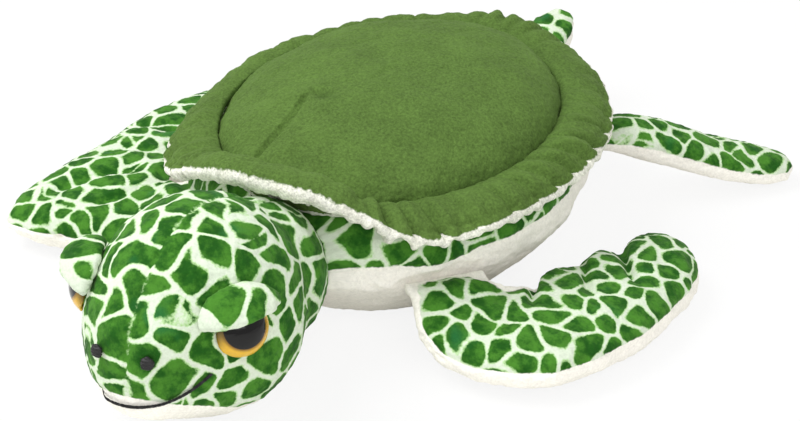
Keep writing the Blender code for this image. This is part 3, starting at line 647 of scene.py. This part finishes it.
def makeRim(green):
    piece = stuffed(rimLook)
    seam, edge = rimCurve("shell_rim_top", False), rimCurve("shell_rim_lining", True)
    places = placesOf(piece)
    turn, _ = turnAndReach(places)
    inner, outer = roundValues(seam, turn), roundValues(edge, turn)
    out = outer - inner
    length = np.linalg.norm(out, axis=1)
    out /= length[:, None]
    along = roundValues(np.roll(edge, -1, 0) - np.roll(edge, 1, 0), turn)
    along /= np.linalg.norm(along, axis=1)[:, None]
    over = np.cross(out, along)
    over *= np.sign(over[:, 2])[:, None]
    share = ((places - inner) * out).sum(1) / length
    hood = smoothStep(outer[:, 2], rimLook["hoodFrom"] * mm, rimLook["hoodTo"] * mm)

    # a fuller roll along the edge, with a crest behind it on the hood
    fromEdge = (1 - share) * length / mm
    push(piece, (rimLook["roll"] * (1 - hood) + rimLook["hoodRoll"] * hood)
         * np.exp(-(fromEdge / rimLook["rollWidth"]) ** 2))
    facing = (normalsOf(piece) * over).sum(1).clip(0, 1)
    crest = rimLook["crest"] * hood * np.exp(-((fromEdge - rimLook["crestAt"]) / 5) ** 2) * facing
    raised = (gatherHeights(turn, share, hood) + crest) * mm
    places = placesOf(piece) + over * raised[:, None]

    # the inner edge is sewn down tight against the dome
    tight = smoothStep(-share, -0.3, -0.02)
    places -= out * (rimLook["tightIn"] * tight * mm)[:, None]
    places[:, 2] -= rimLook["tightDown"] * tight * mm
    setPlaces(piece, places)

    # the lining's furry edge, turned up round the roll
    fromCore = places - outer + out * rimLook["core"] * mm
    angle = np.degrees(np.arctan2(-(fromCore * over).sum(1), (fromCore * out).sum(1)))
    start = rimLook["whiteFromDeg"] * (1 - hood) + rimLook["hoodWhiteFromDeg"] * hood
    white = (angle - start) * 0.05
    white[(share < 0.3) & (normalsOf(piece)[:, 2] > -0.6)] = -9
    keep(piece, "liningSide", np.clip(white, -9, 9))
    push(piece, smoothStep(white, 0, 1)
         * (rimLook["fur"] + rimLook["furWaves"] * waves(placesOf(piece), 1.8, 14, 14)))
    # the same painted shade and brushed nap on the rim
    keepNapAndShade(piece)
    finishCloth(piece, green, "green_shell_plush", rimLook["nodes"])
    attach(piece, "body")


# the head

headLook = {"name": "headPlush",
            "nodes": ["head_panel_left", "head_panel_right", "chin_panel", "head_filling"],
            "first": ["head_panel_left", "head_panel_right"], "second": ["chin_panel"],
            "seamUp": 4.2, "voxel": 2.6, "smoothings": 3, "levels": 2, "slack": 0.6, "cap": 0.4,
            "lumps": 0.3, "seamWidth": 1.0, "seamDepth": 0.4, "fill": 0.9,
            "midSeamWidth": 0.8, "midSeamDepth": 0.5, "chinReach": 3,
            "smileGroove": {"width": 1.3, "depth": 0.7, "ends": 0.05},
            "snugReach": 8.0, "snugGap": 0.1}
headPrint = {"spacing": 11.0, "drift": 2.2, "round": 0.8, "line": 0.95, "cuts": 0.12,
             "leftSeed": 11, "rightSeed": 12}


def snug(piece, other, reach, gap):
    # draws the points of a piece that lie near another one up to its surface
    surface = surfaceOf([other.data])
    places = placesOf(piece)
    for i, place in enumerate(places):
        near, _, _, far = surface.find_nearest(Vector(place), reach * mm)
        if near is not None and far > gap * mm:
            fade = 1 - smoothStep(far / (reach * mm), 0.55, 1.0)
            places[i] += (np.array(near) - place) * (1 - gap * mm / far) * fade
    setPlaces(piece, places)


def makeHead(printed, smile):
    # each side has its own patches, so that the print breaks along the middle seam
    piece = stuffed(headLook)
    places = placesOf(piece)
    middle = (distanceTo(["head_panel_left"], places)
              - distanceTo(["head_panel_right"], places))
    top = distanceTo(["chin_panel"], places) > headLook["chinReach"]
    push(piece, -headLook["midSeamDepth"] * np.exp(-(middle / headLook["midSeamWidth"]) ** 2) * top)
    inside, centres = np.empty(len(places)), []
    for side, seed in ((middle < 0, headPrint["leftSeed"]), (middle >= 0, headPrint["rightSeed"])):
        centres.append(patchCentres(places[side], headPrint["spacing"], seed))
        inside[side] = patchMap(places[side], centres[-1], headPrint)
    seamLine = np.abs(middle) * 0.5 + 1.05 + 0.5 * waves(places, 7, 41)
    inside = np.where(top, np.minimum(inside, seamLine), inside)
    keep(piece, "patchEdge", inside - headPrint["line"])
    press(piece, smile, flat=False, **headLook["smileGroove"])
    finishCloth(piece, printed, "printed_plush", headLook["nodes"])
    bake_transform(piece)
    return piece, np.vstack(centres)


# flippers and tail

limbLooks = {
    "front_flipper_left": {
        "root": (54.5, -53.0, 26), "out": (0.81, -0.58), "reach": 13, "seamUp": 2.6, "folds": [
            {"line": [(74, -24), (80, -35), (87, -47)], "width": 2.0, "depth": 3.6},
            {"line": [(83, -4), (91, -16), (100, -29)], "width": 2.0, "depth": 3.6},
            {"line": [(87, 17), (96, 4), (104, -5), (112, -12)], "width": 2.0, "depth": 3.6},
            {"line": [(79, -14), (88, -26)], "width": 5.0, "depth": -1.2},
            {"line": [(86, 6), (98, -9)], "width": 5.0, "depth": -1.2},
            {"line": [(104, 18), (112, 4)], "width": 2.6, "depth": 1.0}]},
    "front_flipper_right": {
        "root": (-54.5, -53.0, 26), "out": (-0.81, -0.58), "reach": 13, "seamUp": 0.8, "folds": [
            {"line": [(-76, -42), (-84, -58), (-92, -70)], "width": 2.4, "depth": 1.8},
            {"line": [(-80, -34), (-98, -44), (-110, -64), (-116, -78)],
             "width": 2.6, "depth": 1.8},
            {"line": [(-84, -20), (-104, -24), (-118, -36)], "width": 2.8, "depth": 1.5},
            {"line": [(-92, 0), (-108, -2), (-120, -10)], "width": 2.8, "depth": 1.4},
            {"line": [(-104, 22), (-116, 18)], "width": 2.6, "depth": 1.2}]},
    "rear_flipper_left": {
        "root": (46.6, 63.5, 26), "out": (0.73, 0.68), "reach": 10, "seamUp": 0.8, "folds": [
            {"line": [(70, 72), (76, 84), (80, 92)], "width": 2.6, "depth": 1.0},
            {"line": [(88, 88), (94, 104)], "width": 2.6, "depth": 0.9}]},
    "rear_flipper_right": {
        "root": (-46.6, 63.5, 26), "out": (-0.73, 0.68), "reach": 10, "seamUp": 0.8, "folds": []},
    "tail": {"root": (0, 84.2, 26), "out": (0.0, 1.0), "reach": 8, "seamUp": 0.8, "folds": []},
}
limbShape = {"voxel": 2.2, "smoothings": 3, "levels": 2, "slack": 0.5, "cap": 0.4, "lumps": 0.3,
             "seamWidth": 0.9, "seamDepth": 0.4, "foldEnds": 0.35, "fill": 0.7}
limbPrint = {"spacing": 8.6, "drift": 1.8, "round": 0.7, "line": 0.72, "cuts": 0.12,
             "firstSeed": 50}


def makeLimb(number, name, printed):
    # the limb as one stuffed cloth piece, with its folds pressed in and its own print
    look = limbLooks[name]
    nodes = [name + end for end in ("_top_panel", "_bottom_panel", "_filling", "_root_roll")]
    words = name.split("_")
    title = words[0] + "".join(word.capitalize() for word in words[1:])
    piece = stuffed({"name": title, "nodes": nodes, "first": nodes[:1], "second": nodes[1:2],
                     **limbShape, **look})
    for fold in look["folds"]:
        press(piece, ends=limbShape["foldEnds"], **fold)
    printCells(piece, {**limbPrint, "seed": limbPrint["firstSeed"] + number})
    finishCloth(piece, printed, "printed_plush", nodes)
    root, out = Vector(look["root"]) * mm, Vector((*look["out"], 0))
    root + out * look["reach"] * mm
    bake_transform(piece)


# the face

stitchLook = {"levels": 3, "pitch": 0.75, "rib": 0.12, "mouthCentre": (-1, -146, 24),
              "mouthPoints": 19, "mouthFatter": -0.2, "mouthSunk": 0.45, "mouthHidden": 2.4,
              "hiddenFrom": 6, "hiddenTo": 13, "nostrilFatter": 0.75}
lidLook = {"voxel": 0.9, "smoothings": 12, "lift": 5.6, "topShare": 0.25, "fatter": 1.4,
           "whiteAt": 4.5, "whiteWidth": 2.6, "whiter": 2.6, "fill": 0.6}
eyeLook = {"axis": (0.70, -0.66, 0.27), "pupil": 7.4, "pupilShift": (1.1, 0.6, 1.0),
           "shadeWay": (-0.72, -0.48, 0.5), "shadeFrom": 1.5, "shadeTo": 7.5, "fatter": 0.4}


def mirrored(values, hand):
    # the same for the turtle's left (hand 1) or, with x turned round, for its right (hand -1)
    return Vector((values[0] * hand, values[1], values[2]))


def smileLine():
    # the middle line of the mouth's stitch, in mm, from the turtle's right to its left
    corners = np.array([v.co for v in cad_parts["mouth_stitch"].data.vertices]) / mm
    turn = np.arctan2(corners[:, 0] - stitchLook["mouthCentre"][0],
                      stitchLook["mouthCentre"][1] - corners[:, 1])
    steps = np.linspace(turn.min(), turn.max() + 1e-6, stitchLook["mouthPoints"])
    groups = [corners[(turn >= low) & (turn < high)] for low, high in zip(steps, steps[1:])]
    return [group.mean(0) for group in groups if len(group)]


def ribs(along):
    # the ribs of satin stitch, in mm, for places this far along it
    return stitchLook["rib"] * np.sin(along / mm * 2 * math.pi / stitchLook["pitch"])


def makeMouth(thread, smile):
    # one line of stitch drawn into the pile, deeper on the far cheek
    piece = copyOfNodes("mouthStitch", ["mouth_stitch"])
    subdivide(piece, stitchLook["levels"])
    _, along, _ = lineDistance(placesOf(piece), np.array(smile) * mm)
    push(piece, stitchLook["mouthFatter"] + ribs(along))
    places = placesOf(piece)
    inwards = (np.array(stitchLook["mouthCentre"]) * mm - places) * (1, 1, 0)
    inwards /= np.linalg.norm(inwards, axis=1)[:, None]
    hidden = smoothStep(-places[:, 0] / mm, stitchLook["hiddenFrom"], stitchLook["hiddenTo"])
    sunk = stitchLook["mouthSunk"] + stitchLook["mouthHidden"] * hidden
    setPlaces(piece, places + inwards * (sunk * mm)[:, None])
    dress(piece, thread, "black_thread", "mouth_stitch")
    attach(piece, "head")


def makeNostril(side, thread):
    piece = copyOfNodes("nostril" + side.capitalize(), ["nostril_" + side])
    subdivide(piece, stitchLook["levels"])
    push(piece, stitchLook["nostrilFatter"] + ribs(placesOf(piece)[:, 2]))
    dress(piece, thread, "black_thread", "nostril_" + side)
    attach(piece, "head")


def makeLid(side, printed, centres):
    # the lid is drawn up into a thick roll over the eye, its middle mostly white
    piece = copyOfNodes("eyelid" + side.capitalize(), ["eyelid_" + side])
    remesh(piece, lidLook["voxel"], lidLook["smoothings"])
    subdivide(piece, 1)
    places = placesOf(piece)
    low, high = places[:, 2].min(), places[:, 2].max()
    upShare = (places[:, 2] - low) / (high - low)
    places[:, 2] += lidLook["lift"] * mm * (1 - (1 - lidLook["topShare"]) * upShare)
    setPlaces(piece, places)
    push(piece, lidLook["fatter"])
    keep(piece, "liningSide", -never)
    printCells(piece, headPrint, centres)
    heights = placesOf(piece)[:, 2]
    roll = (heights - heights.min()) / mm - lidLook["whiteAt"]
    white = lidLook["whiter"] * np.exp(-(roll / lidLook["whiteWidth"]) ** 2)
    keep(piece, "patchEdge", kept(piece, "patchEdge") - white)
    finishCloth(piece, printed, "printed_plush", ["eyelid_" + side])
    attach(piece, "head")


def plainPaint(name, colour, rough):
    paint = Paint(name)
    dark = [c * 0.8 for c in tint(colour)[:3]] + [1]
    speckle = paint.noise(paint.objectPlace(), 900.0, 2.0, 0.6)
    return paint.surface(paint.mix(speckle, dark, tint(colour)), rough)


def eyePaint(name, centre, axis, shadeWay):
    # a black pupil in an amber ring, by the distance from the eye's own axis
    paint = Paint(name)
    place = paint.objectPlace()
    away = paint.vector("SUBTRACT", place, centre)
    along = paint.vector("DOT_PRODUCT", away, axis, output=1)
    size = paint.vector("LENGTH", away, output=1)
    radius = (size * size - along * along).most(0.0) ** 0.5
    pupil = eyeLook["pupil"]
    amber = paint.mix(radius.step((pupil - 0.2) * mm, (pupil + 1.6) * mm),
                      tint("amberInner"), tint("amberOuter"))
    amber = paint.mix(paint.noise(place, 420.0, 3.0, 0.6) * 0.35, amber, tint("amberStreak"))
    shaded = paint.vector("DOT_PRODUCT", away, shadeWay, output=1)
    amber = paint.mix(shaded.step(eyeLook["shadeFrom"] * mm, eyeLook["shadeTo"] * mm),
                      amber, tint("amberShade"))
    ring = radius.step((pupil - 0.15) * mm, (pupil + 0.15) * mm)
    return paint.surface(paint.mix(ring, tint("pupil"), amber), 0.12, **{
        "Coat Weight": 0.25, "Coat Roughness": 0.02, "Specular IOR Level": 0.2})


def makeEye(side, hand):
    low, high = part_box("eye_" + side)
    piece = copyOfNodes("eye" + side.capitalize(), ["eye_" + side])
    subdivide(piece, 2)
    bpy.ops.object.shade_smooth()
    push(piece, eyeLook["fatter"])
    middle = (low + high) / 2 + mirrored(eyeLook["pupilShift"], hand) * mm
    paint = eyePaint("amberEye" + side.capitalize(), middle,
                     mirrored(eyeLook["axis"], hand).normalized(),
                     mirrored(eyeLook["shadeWay"], hand))
    dress(piece, paint, "amber_and_black_plastic", "eye_" + side)
    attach(piece, "head")


def makeFace(printed, smile, centres):
    thread = plainPaint("blackThread", "thread", 0.55)
    plastic = plainPaint("washerPlastic", "washer", 0.5)
    makeMouth(thread, smile)
    for side, hand in (("left", 1), ("right", -1)):
        makeEye(side, hand)
        makeLid(side, printed, centres)
        makeNostril(side, thread)
        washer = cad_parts["eye_washer_" + side].data
        washer.materials.clear()
        washer.materials.append(plastic)


placeCamera(photoView)
makeStage()
makeLamps()
print("stage made")
shellGreen, printed = shellPaint(), printPaint()
body = makeBody(shellGreen, printed)
makeRim(shellGreen)
print("body and rim made")
for number, limb in enumerate(limbLooks):
    makeLimb(number, limb, printed)
print("limbs made")
smile = smileLine()
head, centres = makeHead(printed, smile)
snug(body, head, headLook["snugReach"], headLook["snugGap"])
makeFace(printed, smile, centres)
print("head made")
